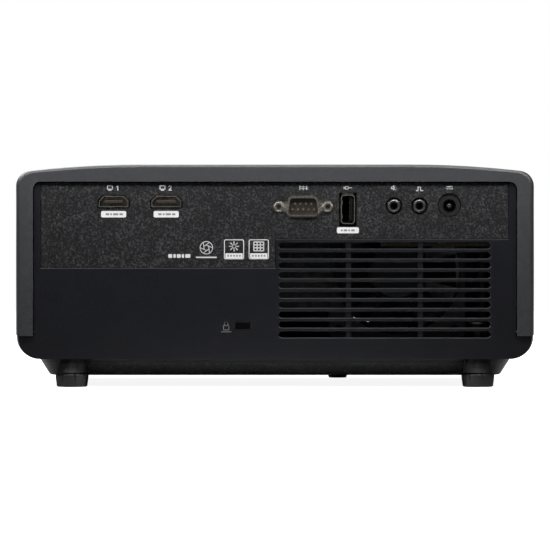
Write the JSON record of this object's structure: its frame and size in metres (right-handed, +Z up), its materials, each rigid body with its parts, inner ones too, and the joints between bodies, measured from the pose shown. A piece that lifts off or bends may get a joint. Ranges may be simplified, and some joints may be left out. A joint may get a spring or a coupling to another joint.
{
  "type": "home projector",
  "caption": "Compact laser home projector: barrel-sided box with a wrap-around top cover, grained connector plate, slotted rear grille, recessed lens with turning rings and screw feet.",
  "frame": {"origin": "on the table, under the middle of the body", "axes": "+X to the right as seen from behind, +Y the way the lens looks, +Z up"},
  "size_m": [0.274, 0.216, 0.1157],
  "materials": {
    "cover_plastic": "fine satin moulded texture",
    "case_plastic": "fine satin moulded texture",
    "plate_plastic": "coarse grained moulded texture",
    "bezel_plastic": "satin",
    "grille_plastic": "satin",
    "collar_plastic": "semi-gloss",
    "well_plastic": "matt",
    "ir_window": "smooth dark red",
    "connector_shell": "stamped nickel plate",
    "jack_plastic": "smooth",
    "inlet_plastic": "smooth",
    "screw_nickel": "nickel plate",
    "board_laminate": "green solder mask",
    "component_metal": "plain",
    "converter_laminate": "brown laminate",
    "fan_plastic": "smooth",
    "speaker_plastic": "matt",
    "laser_metal": "machined",
    "copper": "drawn copper",
    "fin_aluminium": "stamped",
    "wheel_metal": "coated disc",
    "filter_glass": "coated",
    "motor_metal": "plain",
    "optic_glass": "polished",
    "mirror_glass": "coated",
    "chip_board": "blue solder mask",
    "casting": "die-cast, painted",
    "screw_steel": "zinc plate",
    "barrel_plastic": "matt",
    "front_glass": "coated",
    "ring_rubber": "ribbed",
    "key_plastic": "satin",
    "keypad_plastic": "semi-gloss",
    "foot_plastic": "moulded",
    "spring_steel": "plain",
    "insert_brass": "knurled"
  },
  "bodies": {
    "body": {"top_cover": "cover_plastic", "bottom_case": "case_plastic", "io_plate": "plate_plastic", "front_bezel": "bezel_plastic", "front_grille": "grille_plastic", "lens_collar": "collar_plastic", "lens_well": "well_plastic", "front_ir_window": "ir_window", "video_sockets": "connector_shell", "serial_connector": "connector_shell", "serial_jack_screws": "screw_nickel", "power_out_socket": "connector_shell", "audio_jacks": "jack_plastic", "dc_inlet": "inlet_plastic", "main_board": "board_laminate", "main_board_parts": "component_metal", "converter_board": "converter_laminate", "speaker": "speaker_plastic", "intake_fan_frame": "fan_plastic", "exhaust_fan_frame": "fan_plastic", "laser_bank": "laser_metal", "cold_plate": "copper", "heat_pipes": "copper", "radiator_fins": "fin_aluminium", "wheel_motors": "motor_metal", "engine_lenses": "optic_glass", "engine_mirrors": "mirror_glass", "integrator_rod": "optic_glass", "prism_pair": "optic_glass", "imager_board": "chip_board", "imager_heat_sink": "fin_aluminium", "shift_frame": "motor_metal", "engine_housing": "casting", "engine_lid": "casting", "engine_screws": "screw_steel", "lens_barrel": "barrel_plastic", "lens_elements": "front_glass", "keypad_plate": "keypad_plastic", "keypad_board": "board_laminate", "case_screws": "screw_steel", "ceiling_inserts": "insert_brass"},
    "intake_fan": {"intake_fan_rotor": "fan_plastic"},
    "exhaust_fan": {"exhaust_fan_rotor": "fan_plastic"},
    "phosphor_wheel": {"phosphor_wheel": "wheel_metal"},
    "filter_wheel": {"filter_wheel": "filter_glass"},
    "shift_plate": {"shift_plate": "optic_glass"},
    "zoom_ring": {"zoom_ring": "ring_rubber"},
    "focus_ring": {"focus_ring": "ring_rubber"},
    "power_key": {"power_key": "key_plastic"},
    "enter_key": {"enter_key": "key_plastic"},
    "up_key": {"up_key": "key_plastic"},
    "down_key": {"down_key": "key_plastic"},
    "left_key": {"left_key": "key_plastic"},
    "right_key": {"right_key": "key_plastic"},
    "rear_left_foot": {"rear_left_foot": "foot_plastic"},
    "rear_left_foot_carrier": {"rear_left_clip": "spring_steel"},
    "rear_right_foot": {"rear_right_foot": "foot_plastic"},
    "rear_right_foot_carrier": {"rear_right_clip": "spring_steel"},
    "front_foot": {"front_foot": "foot_plastic"},
    "front_foot_carrier": {"front_clip": "spring_steel"}
  },
  "joints": [
    {"name": "rear_left_foot_extend", "type": "slide", "parent": "body", "child": "rear_left_foot_carrier", "axis": [0, 0, -1], "range_m": [0, 0.008]},
    {"name": "rear_left_foot_turn", "type": "hinge", "parent": "rear_left_foot_carrier", "child": "rear_left_foot", "pos_m": [-0.104, -0.096, 0], "axis": [0, 0, -1], "range_deg": [0, 2881]},
    {"name": "rear_right_foot_extend", "type": "slide", "parent": "body", "child": "rear_right_foot_carrier", "axis": [0, 0, -1], "range_m": [0, 0.008]},
    {"name": "rear_right_foot_turn", "type": "hinge", "parent": "rear_right_foot_carrier", "child": "rear_right_foot", "pos_m": [0.104, -0.096, 0], "axis": [0, 0, -1], "range_deg": [0, 2881]},
    {"name": "front_foot_extend", "type": "slide", "parent": "body", "child": "front_foot_carrier", "axis": [0, 0, -1], "range_m": [0, 0.008]},
    {"name": "front_foot_turn", "type": "hinge", "parent": "front_foot_carrier", "child": "front_foot", "pos_m": [0.035, 0.082, 0], "axis": [0, 0, -1], "range_deg": [0, 2881]},
    {"name": "power_key_press", "type": "slide", "parent": "body", "child": "power_key", "axis": [0, 0, -1], "range_m": [0, 0.0008], "stiffness_N_per_m": 400},
    {"name": "enter_key_press", "type": "slide", "parent": "body", "child": "enter_key", "axis": [0, 0, -1], "range_m": [0, 0.0008], "stiffness_N_per_m": 400},
    {"name": "up_key_press", "type": "slide", "parent": "body", "child": "up_key", "axis": [0, 0, -1], "range_m": [0, 0.0008], "stiffness_N_per_m": 400},
    {"name": "down_key_press", "type": "slide", "parent": "body", "child": "down_key", "axis": [0, 0, -1], "range_m": [0, 0.0008], "stiffness_N_per_m": 400},
    {"name": "left_key_press", "type": "slide", "parent": "body", "child": "left_key", "axis": [0, 0, -1], "range_m": [0, 0.0008], "stiffness_N_per_m": 400},
    {"name": "right_key_press", "type": "slide", "parent": "body", "child": "right_key", "axis": [0, 0, -1], "range_m": [0, 0.0008], "stiffness_N_per_m": 400},
    {"name": "zoom_turn", "type": "hinge", "parent": "body", "child": "zoom_ring", "pos_m": [0.058, 0.062, 0.064], "axis": [0, 1, 0], "range_deg": [-22, 22]},
    {"name": "focus_turn", "type": "hinge", "parent": "body", "child": "focus_ring", "pos_m": [0.058, 0.077, 0.064], "axis": [0, 1, 0], "range_deg": [-60, 60]},
    {"name": "intake_fan_spin", "type": "hinge", "parent": "body", "child": "intake_fan", "pos_m": [0.063, -0.0715, 0.0595], "axis": [0, 1, 0], "continuous": true},
    {"name": "exhaust_fan_spin", "type": "hinge", "parent": "body", "child": "exhaust_fan", "pos_m": [-0.062, 0.0765, 0.062], "axis": [0, 1, 0], "continuous": true},
    {"name": "phosphor_wheel_spin", "type": "hinge", "parent": "body", "child": "phosphor_wheel", "pos_m": [0.012, -0.003, 0.064], "axis": [1, 0, 0], "continuous": true},
    {"name": "filter_wheel_spin", "type": "hinge", "parent": "body", "child": "filter_wheel", "pos_m": [-0.006, -0.018, 0.073], "axis": [0, 1, 0], "continuous": true},
    {"name": "shift_plate_tilt", "type": "hinge", "parent": "body", "child": "shift_plate", "pos_m": [0.058, 0.01675, 0.064], "axis": [0, 0, 1], "range_deg": [-0.2, 0.2], "stiffness_Nm_per_rad": 0.02}
  ],
  "couplings": [
    {"joint": "rear_left_foot_turn", "follows": "rear_left_foot_extend", "rad_per_m": 6283.2},
    {"joint": "rear_right_foot_turn", "follows": "rear_right_foot_extend", "rad_per_m": 6283.2},
    {"joint": "front_foot_turn", "follows": "front_foot_extend", "rad_per_m": 6283.2}
  ]
}
